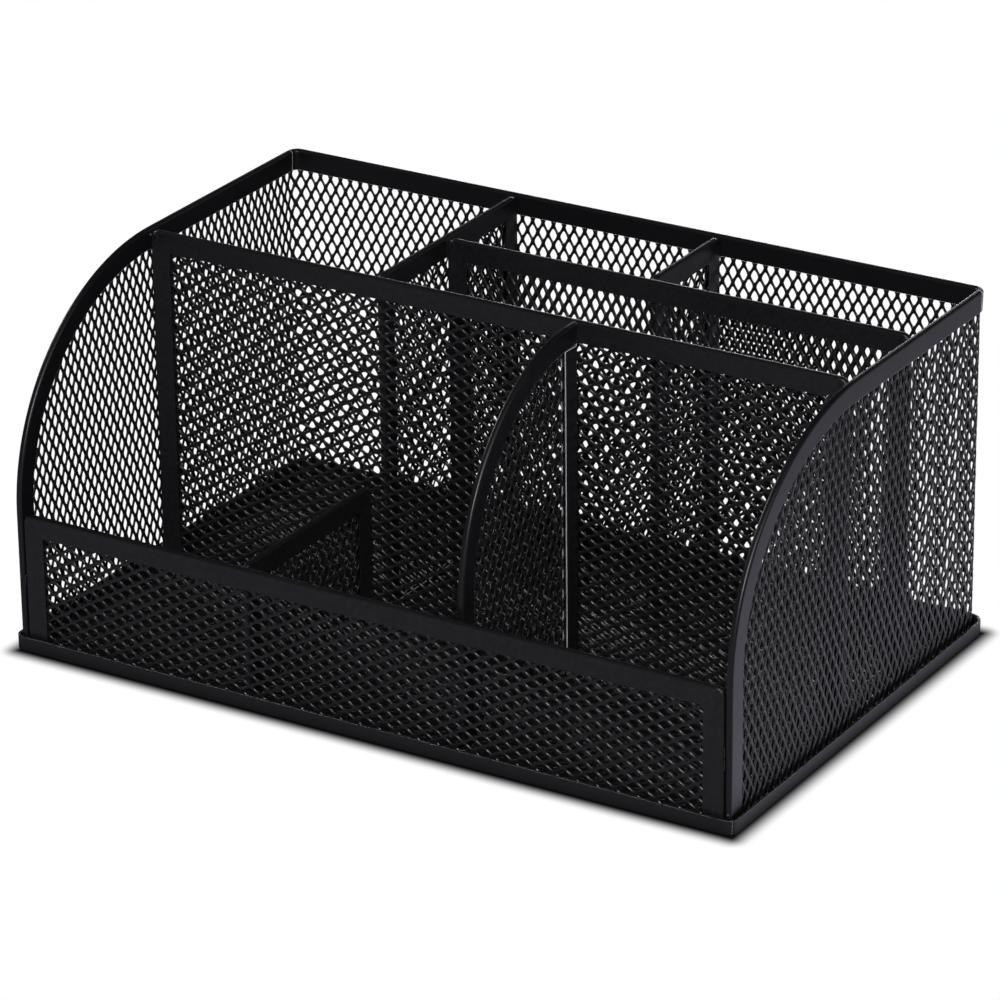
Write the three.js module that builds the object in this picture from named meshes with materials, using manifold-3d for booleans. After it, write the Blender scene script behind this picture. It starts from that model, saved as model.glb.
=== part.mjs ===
// Desk organizer: expanded steel mesh panels, each bound in folded steel strip and welded into a
// tray-like base frame. Two quarter-round sides, a low front panel, a full-width middle wall and
// five dividers leave seven compartments.
//
// Frame: millimetres, +X along the front (to the user's right), +Y to the back, +Z up. The origin
// is under the middle of the organizer, on the surface it stands on.

import * as THREE from "three";
import { mergeVertices } from "three/addons/utils/BufferGeometryUtils.js";
import Module from "manifold-3d";

const wasm = await Module();
wasm.setup();

// ---- Driving dimensions -------------------------------------------------------------------------

// Overall size, measured over the base frame.
const overallLength = 220;
const overallDepth = 140;
const overallHeight = 100;

// Sheet stock.
const stripSheet = 0.4;
const meshSheet = 0.5;
const stripLeg = 6;
const stripCorner = 2.5;

// Base frame: an angle section, its upright leg outside the walls, its flat leg under them.
const baseProud = 1.5;
const baseSheet = 0.6;
const baseHeight = 4.8;
const baseLeg = 9;
const baseCorner = 2.8;

// Walls and dividers. A distance "from the front" or "from the back" runs from the outer face of that
// wall to the middle of the panel; a place along the length is measured from the middle.
const frontHeight = 40.2;
const midWallFromFront = 64;
const slotWallFromBack = 39;
const rearDividerAlong = -34.5;
const smallDividerAlong = 29;
const curvedDividerAlong = 27;
const curvedDividerSetback = 4.5;
const lowDividerAlong = -37.4;
const bottomEdgeLeg = 2;

// Clearances between pieces that touch or are welded.
const slotClearance = 0.3;
const jointGap = 0.4;
const restGap = 0.3;
const mitreGap = 0.3;

// Straight pieces that stand for each quarter-round curve, and for each small corner.
const curveSteps = 16;
const cornerSteps = 4;

// ---- Sizes worked out from them ----------------------------------------------------------------

// A bound edge: mesh between the two legs of a folded channel.
const panelThickness = meshSheet + 2 * slotClearance + 2 * stripSheet;
const slotThickness = meshSheet + 2 * slotClearance;
const meshInset = stripSheet + slotClearance;

// Outer faces of the walls, inside the upright leg of the base frame.
const wallX = overallLength / 2 - baseProud;
const wallY = overallDepth / 2 - baseProud;
const innerX = wallX - panelThickness;
const innerY = wallY - panelThickness;

// The base frame bends round the square front corners of the walls and stays clear of them.
const roomiestCorner = (Math.SQRT2 * baseProud - baseSheet - restGap) / (Math.SQRT2 - 1);
const baseRadius = Math.min(baseCorner, roomiestCorner);

// Levels.
const wallBottom = baseSheet + restGap;
const floorTop = wallBottom + meshSheet;
const dividerBottom = floorTop + restGap;

// Middles and faces of the cross walls.
const midWallY = -wallY + midWallFromFront;
const slotWallY = wallY - slotWallFromBack;
const midWallFront = midWallY - panelThickness / 2;
const midWallBack = midWallY + panelThickness / 2;
const slotWallBack = slotWallY + panelThickness / 2;

// The quarter-round edge of the sides ends level with the back face of the middle wall.
const sideCurveEnd = midWallBack;

// A cutting shape reaches this far past the piece that it cuts.
const cutMargin = 2;

// ---- Materials -----------------------------------------------------------------------------------

const stripColour = 0x2b2c2f;
const meshColour = 0x1d1e20;
const baseColour = 0x303134;

function powderCoat(colour, roughness) {
  return new THREE.MeshStandardMaterial({ color: colour, roughness, metalness: 0.15 });
}

// ---- Solids --------------------------------------------------------------------------------------

// A flat shape, extruded to a thickness that is centred on its plane.
function plate(shape, thickness) {
  const geometry = new THREE.ExtrudeGeometry(shape, { depth: thickness, bevelEnabled: false });
  geometry.translate(0, 0, -thickness / 2);
  return geometry;
}

function toSolid(geometry) {
  const bare = geometry.clone();
  bare.deleteAttribute("normal");
  bare.deleteAttribute("uv");
  const merged = mergeVertices(bare, 1e-5);
  return new wasm.Manifold(new wasm.Mesh({
    numProp: 3,
    vertProperties: new Float32Array(merged.attributes.position.array),
    triVerts: new Uint32Array(merged.index.array),
  }));
}

function toGeometry(solid) {
  const mesh = solid.getMesh();
  const geometry = new THREE.BufferGeometry();
  geometry.setAttribute("position", new THREE.BufferAttribute(new Float32Array(mesh.vertProperties), 3));
  geometry.setIndex(new THREE.BufferAttribute(new Uint32Array(mesh.triVerts), 1));
  geometry.computeVertexNormals();
  return geometry;
}

function named(name, geometry, material) {
  const mesh = new THREE.Mesh(geometry, material);
  mesh.name = name;
  return mesh;
}

function polygon(points) {
  return new THREE.Shape(points.map(([x, y]) => new THREE.Vector2(x, y)));
}

function rectangle(x0, y0, x1, y1) {
  return polygon([[x0, y0], [x1, y0], [x1, y1], [x0, y1]]);
}

// Points of a quarter turn about a centre, from one angle to the next.
function quarterTurn(centreX, centreY, radius, startAngle, endAngle) {
  const points = [];
  for (let step = 0; step <= cornerSteps; step += 1) {
    const angle = startAngle + (endAngle - startAngle) * (step / cornerSteps);
    points.push([centreX + radius * Math.cos(angle), centreY + radius * Math.sin(angle)]);
  }
  return points;
}

// ---- Panel outlines ------------------------------------------------------------------------------
// A panel is drawn in its own plane: first coordinate along it, second coordinate up. An outline is
// asked for at an inset from the bound edges, so the same function gives the outside of a channel,
// the inside of its fold, the edge of the mesh in it and the free edge of its legs.

// A rectangle with both ends and the top bound, and rounded top corners.
function boundRectangle(start, end, bottom, top) {
  return (inset, drop = 0) => {
    const radius = Math.max(stripCorner - inset, 0);
    const left = start + inset;
    const right = end - inset;
    const upper = top - inset;
    const base = bottom - drop;
    if (radius === 0) {
      return rectangle(left, base, right, upper);
    }
    return polygon([
      [left, base],
      [right, base],
      ...quarterTurn(right - radius, upper - radius, radius, 0, Math.PI / 2),
      ...quarterTurn(left + radius, upper - radius, radius, Math.PI / 2, Math.PI),
    ]);
  };
}

// A side with a straight front edge, a quarter-ellipse and a straight top, bound along all three.
// Its back edge is free.
function boundQuarterRound(front, curveEnd, back, bottom, springing, top) {
  return (inset, drop = 0, overrun = 0) => {
    const halfWidth = curveEnd - front;
    const halfHeight = top - springing;
    const points = [[back + overrun, bottom - drop], [back + overrun, top - inset]];
    for (let step = 0; step <= curveSteps; step += 1) {
      const angle = (Math.PI / 2) * (1 - step / curveSteps);
      const outward = new THREE.Vector2(-Math.cos(angle) / halfWidth, Math.sin(angle) / halfHeight);
      outward.normalize();
      points.push([
        curveEnd - halfWidth * Math.cos(angle) - inset * outward.x,
        springing + halfHeight * Math.sin(angle) - inset * outward.y,
      ]);
    }
    points.push([front + inset, bottom - drop]);
    return polygon(points);
  };
}

// The folded channel round an outline: two legs and the fold between them.
function channel(outline, leg, ...overruns) {
  const outside = toSolid(plate(outline(0), panelThickness));
  const open = toSolid(plate(outline(leg, cutMargin, ...overruns), panelThickness + cutMargin));
  const slot = toSolid(plate(outline(stripSheet, cutMargin, ...overruns), slotThickness));
  return outside.subtract(open).subtract(slot);
}

// The part of a channel inside a flat region.
function within(solid, region) {
  return toGeometry(solid.intersect(toSolid(plate(region, panelThickness + cutMargin))));
}

// ---- Panels --------------------------------------------------------------------------------------

const along = new THREE.Vector3(1, 0, 0);
const back = new THREE.Vector3(0, 1, 0);
const up = new THREE.Vector3(0, 0, 1);

// A group whose plane runs along the length of the organizer, at a distance towards the back.
function acrossPlane(y) {
  const group = new THREE.Group();
  group.setRotationFromMatrix(new THREE.Matrix4().makeBasis(along, up, back.clone().negate()));
  group.position.set(0, y, 0);
  return group;
}

// A group whose plane runs from front to back, at a distance along the length.
function frontToBackPlane(x) {
  const group = new THREE.Group();
  group.setRotationFromMatrix(new THREE.Matrix4().makeBasis(back, up, along));
  group.position.set(x, 0, 0);
  return group;
}

// Mesh in three strips that meet in mitres at the top corners.
function addFramedPanel(group, name, startName, endName, start, end, bottom, top) {
  const outline = boundRectangle(start, end, bottom, top);
  const frame = channel(outline, stripLeg);
  const reach = stripLeg + cutMargin;
  const shift = mitreGap * Math.SQRT1_2;
  const below = bottom - cutMargin;
  const startRegion = polygon([
    [start - cutMargin, below],
    [start + reach, below],
    [start + reach, top - reach - shift],
    [start - cutMargin, top + cutMargin - shift],
  ]);
  const endRegion = polygon([
    [end - reach, below],
    [end + cutMargin, below],
    [end + cutMargin, top + cutMargin - shift],
    [end - reach, top - reach - shift],
  ]);
  const topRegion = polygon([
    [start + reach + shift, top - reach],
    [end - reach - shift, top - reach],
    [end + cutMargin - shift, top + cutMargin],
    [start - cutMargin + shift, top + cutMargin],
  ]);
  group.add(
    named(`${name}_mesh`, plate(outline(meshInset), meshSheet), powderCoat(meshColour, 0.55)),
    named(`${name}_top_strip`, within(frame, topRegion), powderCoat(stripColour, 0.45)),
    named(`${name}_${startName}_strip`, within(frame, startRegion), powderCoat(stripColour, 0.45)),
    named(`${name}_${endName}_strip`, within(frame, endRegion), powderCoat(stripColour, 0.45)),
  );
  return group;
}

function frontPanel() {
  const group = acrossPlane(-wallY + panelThickness / 2);
  const end = innerX - jointGap;
  return addFramedPanel(group, "front_panel", "left", "right", -end, end, wallBottom, frontHeight);
}

function midWall() {
  const end = innerX - jointGap;
  const group = acrossPlane(midWallY);
  return addFramedPanel(group, "mid_wall", "left", "right", -end, end, dividerBottom, overallHeight);
}

function slotWall() {
  const start = rearDividerAlong + panelThickness / 2 + jointGap;
  const end = innerX - jointGap;
  const group = acrossPlane(slotWallY);
  return addFramedPanel(group, "slot_wall", "left", "right", start, end, dividerBottom, overallHeight);
}

// The tall divider behind the middle wall. Its mesh also has a narrow folded strip along the bottom,
// between the legs of the two upright strips.
function rearDivider() {
  const start = midWallBack + jointGap;
  const end = innerY - jointGap;
  const group = frontToBackPlane(rearDividerAlong);
  const meshBottom = dividerBottom + meshInset;
  addFramedPanel(group, "rear_divider", "front", "back", start, end, meshBottom, overallHeight);
  const stripStart = start + stripLeg + mitreGap;
  const stripEnd = end - stripLeg - mitreGap;
  const upper = dividerBottom + bottomEdgeLeg;
  const outside = plate(rectangle(stripStart, dividerBottom, stripEnd, upper), panelThickness);
  const slotBottom = dividerBottom + stripSheet;
  const slot = plate(
    rectangle(stripStart - cutMargin, slotBottom, stripEnd + cutMargin, upper + cutMargin),
    slotThickness,
  );
  const strip = toGeometry(toSolid(outside).subtract(toSolid(slot)));
  group.add(named("rear_divider_bottom_strip", strip, powderCoat(stripColour, 0.45)));
  return group;
}

function smallDivider() {
  const start = slotWallBack + jointGap;
  const end = innerY - jointGap;
  const group = frontToBackPlane(smallDividerAlong);
  return addFramedPanel(
    group, "small_divider", "front", "back", start, end, dividerBottom, overallHeight,
  );
}

function lowDivider() {
  const start = -innerY + jointGap;
  const end = midWallFront - jointGap;
  const group = frontToBackPlane(lowDividerAlong);
  return addFramedPanel(group, "low_divider", "front", "back", start, end, dividerBottom, frontHeight);
}

// A quarter-round divider from the front panel to the middle wall: one curved rim, and an upright
// strip where it meets the middle wall.
function curvedDivider() {
  const front = -wallY + curvedDividerSetback;
  const end = midWallFront - jointGap;
  const curveEnd = end - stripCorner;
  const group = frontToBackPlane(curvedDividerAlong);
  const outline = boundQuarterRound(
    front, curveEnd, end, dividerBottom, frontHeight, overallHeight,
  );
  const rim = toGeometry(channel(outline, stripLeg, cutMargin));
  const upright = rectangle(end - stripLeg, dividerBottom, end, overallHeight - stripLeg - mitreGap);
  const slot = rectangle(
    end - stripLeg - cutMargin, dividerBottom - cutMargin,
    end - stripSheet, overallHeight + cutMargin,
  );
  const backStrip = toSolid(plate(upright, panelThickness)).subtract(toSolid(plate(slot, slotThickness)));
  const meshOutline = boundQuarterRound(
    front, curveEnd, end - meshInset, dividerBottom, frontHeight, overallHeight,
  );
  group.add(
    named("curved_divider_mesh", plate(meshOutline(meshInset), meshSheet), powderCoat(meshColour, 0.55)),
    named("curved_divider_rim", rim, powderCoat(stripColour, 0.45)),
    named("curved_divider_back_strip", toGeometry(backStrip), powderCoat(stripColour, 0.45)),
  );
  return group;
}

// A side: mesh from the front edge to the back wall, and one rim that runs up the front, round the
// curve and along the top.
function side(name, x) {
  const group = frontToBackPlane(x);
  const outline = boundQuarterRound(
    -wallY, sideCurveEnd, innerY - jointGap, wallBottom, frontHeight, overallHeight,
  );
  const rim = toGeometry(channel(outline, stripLeg, cutMargin));
  group.add(
    named(`${name}_side_mesh`, plate(outline(meshInset), meshSheet), powderCoat(meshColour, 0.55)),
    named(`${name}_side_rim`, rim, powderCoat(stripColour, 0.45)),
  );
  return group;
}

// The back: mesh across the full length, and a rim along its top.
function backWall() {
  const group = acrossPlane(wallY - panelThickness / 2);
  const meshHalf = wallX - meshInset;
  const mesh = plate(rectangle(-meshHalf, wallBottom, meshHalf, overallHeight - meshInset), meshSheet);
  const outside = plate(
    rectangle(-wallX, overallHeight - stripLeg, wallX, overallHeight), panelThickness,
  );
  const slot = plate(
    rectangle(
      -wallX - cutMargin, overallHeight - stripLeg - cutMargin,
      wallX + cutMargin, overallHeight - stripSheet,
    ),
    slotThickness,
  );
  group.add(
    named("back_mesh", mesh, powderCoat(meshColour, 0.55)),
    named("back_rim", toGeometry(toSolid(outside).subtract(toSolid(slot))), powderCoat(stripColour, 0.45)),
  );
  return group;
}

// ---- Base ----------------------------------------------------------------------------------------

function roundedRectangle(halfLength, halfDepth, radius) {
  const x = halfLength - radius;
  const y = halfDepth - radius;
  return polygon([
    ...quarterTurn(x, y, radius, 0, Math.PI / 2),
    ...quarterTurn(-x, y, radius, Math.PI / 2, Math.PI),
    ...quarterTurn(-x, -y, radius, Math.PI, 1.5 * Math.PI),
    ...quarterTurn(x, -y, radius, 1.5 * Math.PI, 2 * Math.PI),
  ]);
}

function prism(shape, bottom, height) {
  const geometry = new THREE.ExtrudeGeometry(shape, { depth: height, bevelEnabled: false });
  geometry.translate(0, 0, bottom);
  return toSolid(geometry);
}

// The base frame is one angle section bent round the corners, kept as four straight runs that meet
// in mitres half way round each corner.
function baseFrame() {
  const halfLength = overallLength / 2;
  const halfDepth = overallDepth / 2;
  const ring = prism(roundedRectangle(halfLength, halfDepth, baseRadius), 0, baseHeight)
    .subtract(prism(
      rectangle(-halfLength + baseLeg, -halfDepth + baseLeg, halfLength - baseLeg, halfDepth - baseLeg),
      -cutMargin, baseHeight + 2 * cutMargin,
    ))
    .subtract(prism(
      roundedRectangle(halfLength - baseSheet, halfDepth - baseSheet, baseRadius - baseSheet),
      baseSheet, baseHeight + cutMargin,
    ));
  const group = new THREE.Group();
  const reach = baseLeg + cutMargin;
  const shift = mitreGap * Math.SQRT1_2;
  const runs = [
    ["front", 0, halfLength, halfDepth],
    ["right", 1, halfDepth, halfLength],
    ["back", 2, halfLength, halfDepth],
    ["left", 3, halfDepth, halfLength],
  ];
  for (const [name, quarterTurns, halfRun, distance] of runs) {
    const region = polygon([
      [-halfRun - cutMargin + shift, -distance - cutMargin],
      [halfRun + cutMargin - shift, -distance - cutMargin],
      [halfRun - reach - shift, -distance + reach],
      [-halfRun + reach + shift, -distance + reach],
    ]);
    const turned = new THREE.ExtrudeGeometry(region, {
      depth: baseHeight + 2 * cutMargin,
      bevelEnabled: false,
    });
    turned.translate(0, 0, -cutMargin);
    turned.rotateZ(quarterTurns * (Math.PI / 2));
    const run = toGeometry(ring.intersect(toSolid(turned)));
    group.add(named(`base_rim_${name}`, run, powderCoat(baseColour, 0.45)));
  }
  return group;
}

function floorMesh() {
  const halfLength = innerX - jointGap;
  const halfDepth = innerY - jointGap;
  const geometry = new THREE.BoxGeometry(2 * halfLength, 2 * halfDepth, meshSheet);
  const mesh = named("floor_mesh", geometry, powderCoat(meshColour, 0.55));
  mesh.position.set(0, 0, wallBottom + meshSheet / 2);
  return mesh;
}

// ---- Assembly ------------------------------------------------------------------------------------

const organizer = new THREE.Group();
organizer.add(
  baseFrame(),
  floorMesh(),
  side("left", -wallX + panelThickness / 2),
  side("right", wallX - panelThickness / 2),
  backWall(),
  frontPanel(),
  midWall(),
  slotWall(),
  rearDivider(),
  smallDivider(),
  curvedDivider(),
  lowDivider(),
);

export default organizer;
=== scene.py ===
"""Finishes the desk organizer: expanded steel mesh panels, each bound in folded strip, on an angle base.

The packed frame gives every size and place. Each panel gets its real mesh, its folded channels with
rounded bends, the welds that hold it, and black powder coat. Lengths are in metres.
"""

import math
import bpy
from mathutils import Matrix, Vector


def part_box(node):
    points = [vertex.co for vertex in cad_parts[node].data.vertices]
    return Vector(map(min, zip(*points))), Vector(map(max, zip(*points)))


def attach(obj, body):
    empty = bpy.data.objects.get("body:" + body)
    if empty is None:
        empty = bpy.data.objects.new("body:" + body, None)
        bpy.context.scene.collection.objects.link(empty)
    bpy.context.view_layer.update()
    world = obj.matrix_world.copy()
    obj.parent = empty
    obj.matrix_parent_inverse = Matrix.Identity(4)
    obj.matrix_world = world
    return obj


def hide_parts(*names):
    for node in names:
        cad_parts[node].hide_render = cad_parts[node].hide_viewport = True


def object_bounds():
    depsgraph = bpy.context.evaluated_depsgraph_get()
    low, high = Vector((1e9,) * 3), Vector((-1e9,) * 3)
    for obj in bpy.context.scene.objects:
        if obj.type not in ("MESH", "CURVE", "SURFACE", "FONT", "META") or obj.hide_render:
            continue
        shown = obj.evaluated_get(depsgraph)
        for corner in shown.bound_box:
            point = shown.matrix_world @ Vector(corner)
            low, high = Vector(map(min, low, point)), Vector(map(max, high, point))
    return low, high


bl_info = {
    "name": "Desk Organizer Finish",
    "version": (1, 0, 0),
    "blender": (4, 5, 0),
    "location": "View3D > Sidebar > Organizer",
    "description": "Makes the mesh, folded strips, base frame and welds of a desk organizer",
    "category": "Object",
}

import bmesh
import bpy
from bpy.props import FloatProperty, FloatVectorProperty, PointerProperty
from mathutils import Matrix, Vector

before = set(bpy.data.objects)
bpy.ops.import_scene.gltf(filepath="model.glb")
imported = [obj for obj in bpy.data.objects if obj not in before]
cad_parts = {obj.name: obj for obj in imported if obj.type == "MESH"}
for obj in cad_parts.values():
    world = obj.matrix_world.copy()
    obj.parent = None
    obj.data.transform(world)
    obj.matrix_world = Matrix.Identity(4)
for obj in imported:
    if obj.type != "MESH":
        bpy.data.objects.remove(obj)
CAD_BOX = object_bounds()

MM = 0.001
MESH_SLOT = "expanded_mesh"
STRIP_SLOT = "folded_strip"
BASE_SLOT = "base_frame"

# The framed panels: which way each one runs, and what its two upright strips are called.
ACROSS = Matrix(((1, 0, 0), (0, 0, -1), (0, 1, 0)))
FRONT_TO_BACK = Matrix(((0, 0, 1), (1, 0, 0), (0, 1, 0)))
FRAMED_PANELS = {
    "front_panel": (ACROSS, "left", "right"),
    "mid_wall": (ACROSS, "left", "right"),
    "slot_wall": (ACROSS, "left", "right"),
    "rear_divider": (FRONT_TO_BACK, "front", "back"),
    "small_divider": (FRONT_TO_BACK, "front", "back"),
    "low_divider": (FRONT_TO_BACK, "front", "back"),
}

# Where a sheet was cut from the roll, for a panel whose pattern doesn't start from its middle.
SHEET_STARTS = {"slot_wall": (0.95 * MM, 3.74 * MM)}


# ---- Settings -------------------------------------------------------------------------------------


def length(name, description, default):
    """A length setting that shows fractions of a millimetre."""
    return FloatProperty(name=name, description=description, default=default, unit="LENGTH", precision=5)


def colour(name, description, default):
    """A colour setting."""
    return FloatVectorProperty(
        name=name, description=description, default=default, subtype="COLOR", size=4, min=0, max=1,
    )


class MeshSizes(bpy.types.PropertyGroup):
    """Sizes of the expanded mesh."""

    short_pitch: length("Short pitch", "Opening to opening across a diamond, on the walls", 3.3 * MM)
    long_pitch: length("Long pitch", "Opening to opening along a diamond", 5.93 * MM)
    wide_short_pitch: length(
        "Short pitch, laid mesh", "Across a diamond where the diamonds lie flat", 3.55 * MM)
    strand: length("Strand width", "Width of one strand between two openings", 0.75 * MM)
    roundness: FloatProperty(
        name="Opening roundness", description="1 is a sharp diamond, 2 a full ellipse",
        default=1.32, min=1.0, max=2.0,
    )
    thickness: length("Coated thickness", "Thickness of the mesh sheet with its coating", 0.42 * MM)
    shoulder: length("Strand rounding", "How far a strand's edge drops below its middle", 0.13 * MM)
    lean: length(
        "Strand lean", "Rise of one edge of an opening over the other, from stretching", 0.12 * MM)
    unevenness: length("Unevenness", "How far the strands wander from a perfect grid", 0.07 * MM)
    corner_radius: length("Back corner radius", "Radius of the bend at the two back corners", 2.4 * MM)


class StripSizes(bpy.types.PropertyGroup):
    """Sizes of the folded strips."""

    sheet: length("Strip sheet", "Thickness of the strip stock with its coating", 0.34 * MM)
    pinch: length("Pinch", "How far each leg closes in from the fold to its free edge", 0.2 * MM)
    fold_share: FloatProperty(
        name="Fold roundness", description="Radius of the fold as a share of its half width",
        default=0.72, min=0.1, max=1.0,
    )
    corner_radius: length("Panel corner radius", "Radius of a framed panel's top corners", 2.5 * MM)
    mitre_gap: length("Mitre gap", "Gap left at each mitre", 0.05 * MM)
    edge_radius: length("Edge rounding", "How far the coating rounds a cut edge", 0.09 * MM)


class BaseSizes(bpy.types.PropertyGroup):
    """Sizes of the base frame."""

    sheet: length("Base sheet", "Thickness of the angle section with its coating", 0.6 * MM)
    fold_radius: length("Base fold radius", "Radius of the bend between upright and flat leg", 0.9 * MM)
    front_corner: length("Front corner radius", "Radius of the frame's front corners", 2.8 * MM)
    back_corner: length("Back corner radius", "Radius of the frame's back corners", 4.6 * MM)


class FinishSettings(bpy.types.PropertyGroup):
    """Colours and gloss of the powder coat."""

    mesh_colour: colour("Mesh coat", "Colour of the coat on the mesh", (0.009, 0.009, 0.010, 1))
    strip_colour: colour("Strip coat", "Colour of the coat on the strips", (0.006, 0.006, 0.0072, 1))
    base_colour: colour("Base coat", "Colour of the coat on the base frame", (0.009, 0.009, 0.0105, 1))
    gloss: FloatProperty(
        name="Coat roughness", description="Roughness of the satin coat", default=0.35, min=0, max=1,
    )


class StageSettings(bpy.types.PropertyGroup):
    """Camera angle and light."""

    azimuth: FloatProperty(
        name="Camera azimuth", description="Turn of the camera round the organizer",
        default=math.radians(31.54), subtype="ANGLE",
    )
    elevation: FloatProperty(
        name="Camera elevation", description="Height angle of the camera",
        default=math.radians(23.78), subtype="ANGLE",
    )
    roll: FloatProperty(
        name="Camera roll", description="Turn of the camera about its own view",
        default=math.radians(-0.675), subtype="ANGLE",
    )
    distance: FloatProperty(
        name="Camera distance", description="From the camera to the middle of the organizer",
        default=1.4242, unit="LENGTH",
    )
    lens: FloatProperty(
        name="Lens", description="Focal length in millimetres", default=193.72, unit="CAMERA",
    )
    floor_size: FloatProperty(
        name="Floor size", description="Side of the floor", default=8.0, unit="LENGTH",
    )
    shade_reach: FloatProperty(
        name="Shade reach", description="How far out the dark patch under the organizer fades",
        default=6.0 * MM, unit="LENGTH", precision=4,
    )
    key_power: FloatProperty(
        name="Key power", description="Power that the soft lights share out", default=6.0, unit="POWER",
    )
    floor_glow: FloatProperty(
        name="Floor glow", description="How bright the floor is in the coat's reflections",
        default=0.29, min=0,
    )
    side_glow: FloatProperty(
        name="Side glow", description="How much brighter the floor is close by on the right",
        default=0.8, min=0,
    )
    glow_reach: FloatProperty(
        name="Glow reach", description="How far to the right the side glow has faded",
        default=0.1, subtype="DISTANCE",
    )
    back_glow: FloatProperty(
        name="Back glow", description="How bright the room is low down behind the organizer",
        default=0.6, min=0,
    )
    room_light: FloatProperty(
        name="Room light", description="Strength of the even light from above", default=0.02, min=0,
    )


# ---- Node helpers ---------------------------------------------------------------------------------


def put(tree, kind, inputs=None, **settings):
    """Adds a node, sets its properties, and fills or links its inputs by name or number."""
    node = tree.nodes.new(kind)
    for name, value in settings.items():
        setattr(node, name, value)
    for key, value in (inputs or {}).items():
        socket = node.inputs[key]
        if isinstance(value, bpy.types.NodeSocket):
            tree.links.new(value, socket)
        else:
            socket.default_value = value
    return node


def made(tree, kind, inputs=None, **settings):
    """The first output of an added node."""
    return put(tree, kind, inputs, **settings).outputs[0]


def maths(tree, operation, *terms):
    """One math operation on a single term, or a chain of it over several numbers and sockets."""
    if len(terms) == 1:
        return made(tree, "ShaderNodeMath", {0: terms[0]}, operation=operation)
    total = terms[0]
    for term in terms[1:]:
        total = made(tree, "ShaderNodeMath", {0: total, 1: term}, operation=operation)
    return total


def plus(tree, *terms):
    return maths(tree, "ADD", *terms)


def minus(tree, *terms):
    return maths(tree, "SUBTRACT", *terms)


def times(tree, *terms):
    return maths(tree, "MULTIPLY", *terms)


def over(tree, *terms):
    return maths(tree, "DIVIDE", *terms)


def vector(tree, *numbers):
    """A vector of up to three numbers or sockets."""
    return made(tree, "ShaderNodeCombineXYZ", dict(enumerate(numbers)))


def parts(tree, value):
    """The three numbers of a vector."""
    return put(tree, "ShaderNodeSeparateXYZ", {0: value}).outputs


def vector_maths(tree, operation, **inputs):
    """A vector operation: value and other are its first two inputs, scale its factor."""
    keys = {"value": 0, "other": 1, "scale": "Scale"}
    numbered = {keys[name]: value for name, value in inputs.items()}
    return made(tree, "ShaderNodeVectorMath", numbered, operation=operation)


def position(tree):
    return made(tree, "GeometryNodeInputPosition")


def stored(tree, name, data_type="FLOAT"):
    return made(tree, "GeometryNodeInputNamedAttribute", {"Name": name}, data_type=data_type)


def store(tree, geometry, selection, name, value):
    """Keeps a number on the selected points under a name."""
    return made(tree, "GeometryNodeStoreNamedAttribute", {
        "Geometry": geometry, "Selection": selection, "Name": name, "Value": value,
    }, data_type="FLOAT", domain="POINT")


def compared(tree, operation, first, second):
    return made(tree, "FunctionNodeCompare", {0: first, 1: second}, data_type="FLOAT",
                operation=operation)


def both(tree, first, second):
    return made(tree, "FunctionNodeBooleanMath", {0: first, 1: second}, operation="AND")


def moved(tree, geometry, **inputs):
    return made(tree, "GeometryNodeSetPosition", {"Geometry": geometry, **inputs})


def merged(tree, geometry, distance):
    return made(tree, "GeometryNodeMergeByDistance", {"Geometry": geometry, "Distance": distance})


def realized(tree, geometry):
    return made(tree, "GeometryNodeRealizeInstances", {"Geometry": geometry})


def new_geometry_tree(name, inputs):
    """A geometry node tree with named inputs, and its group input and output nodes."""
    tree = bpy.data.node_groups.new(name, "GeometryNodeTree")
    tree.interface.new_socket("Geometry", in_out="INPUT", socket_type="NodeSocketGeometry")
    for label, kind, default in inputs:
        socket = tree.interface.new_socket(label, in_out="INPUT", socket_type=f"NodeSocket{kind}")
        if default is not None:
            socket.default_value = default
    tree.interface.new_socket("Geometry", in_out="OUTPUT", socket_type="NodeSocketGeometry")
    return tree, tree.nodes.new("NodeGroupInput").outputs, tree.nodes.new("NodeGroupOutput").inputs


def add_tree(obj, tree, values):
    """Adds a geometry nodes modifier, with its inputs set by their identifiers."""
    modifier = obj.modifiers.new(tree.name, "NODES")
    modifier.node_group = tree
    for item in tree.interface.items_tree:
        if item.in_out == "INPUT" and item.name in values:
            modifier[item.identifier] = values[item.name]


def solidified(tree, sheet, thickness, merge_distance, direction=None):
    """A closed solid: the sheet raised by its thickness, walls round its borders, and its underside."""
    settings = {"Mesh": sheet, "Offset Scale": thickness, "Individual": False}
    if direction is not None:
        settings["Offset"] = direction
    raised = put(tree, "GeometryNodeExtrudeMesh", settings, mode="FACES").outputs["Mesh"]
    turned = put(tree, "GeometryNodeFlipFaces", {"Mesh": sheet}).outputs["Mesh"]
    joined = put(tree, "GeometryNodeJoinGeometry")
    tree.links.new(turned, joined.inputs[0])
    tree.links.new(raised, joined.inputs[0])
    return merged(tree, joined.outputs[0], merge_distance)


def finished_end(tree, geometry, material, output):
    """Ends a tree: instances made real, smooth faces, and the material."""
    smooth = made(tree, "GeometryNodeSetShadeSmooth", {"Geometry": realized(tree, geometry)})
    coated = made(tree, "GeometryNodeSetMaterial", {"Geometry": smooth, "Material": material})
    tree.links.new(coated, output[0])


# ---- Expanded mesh --------------------------------------------------------------------------------


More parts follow.
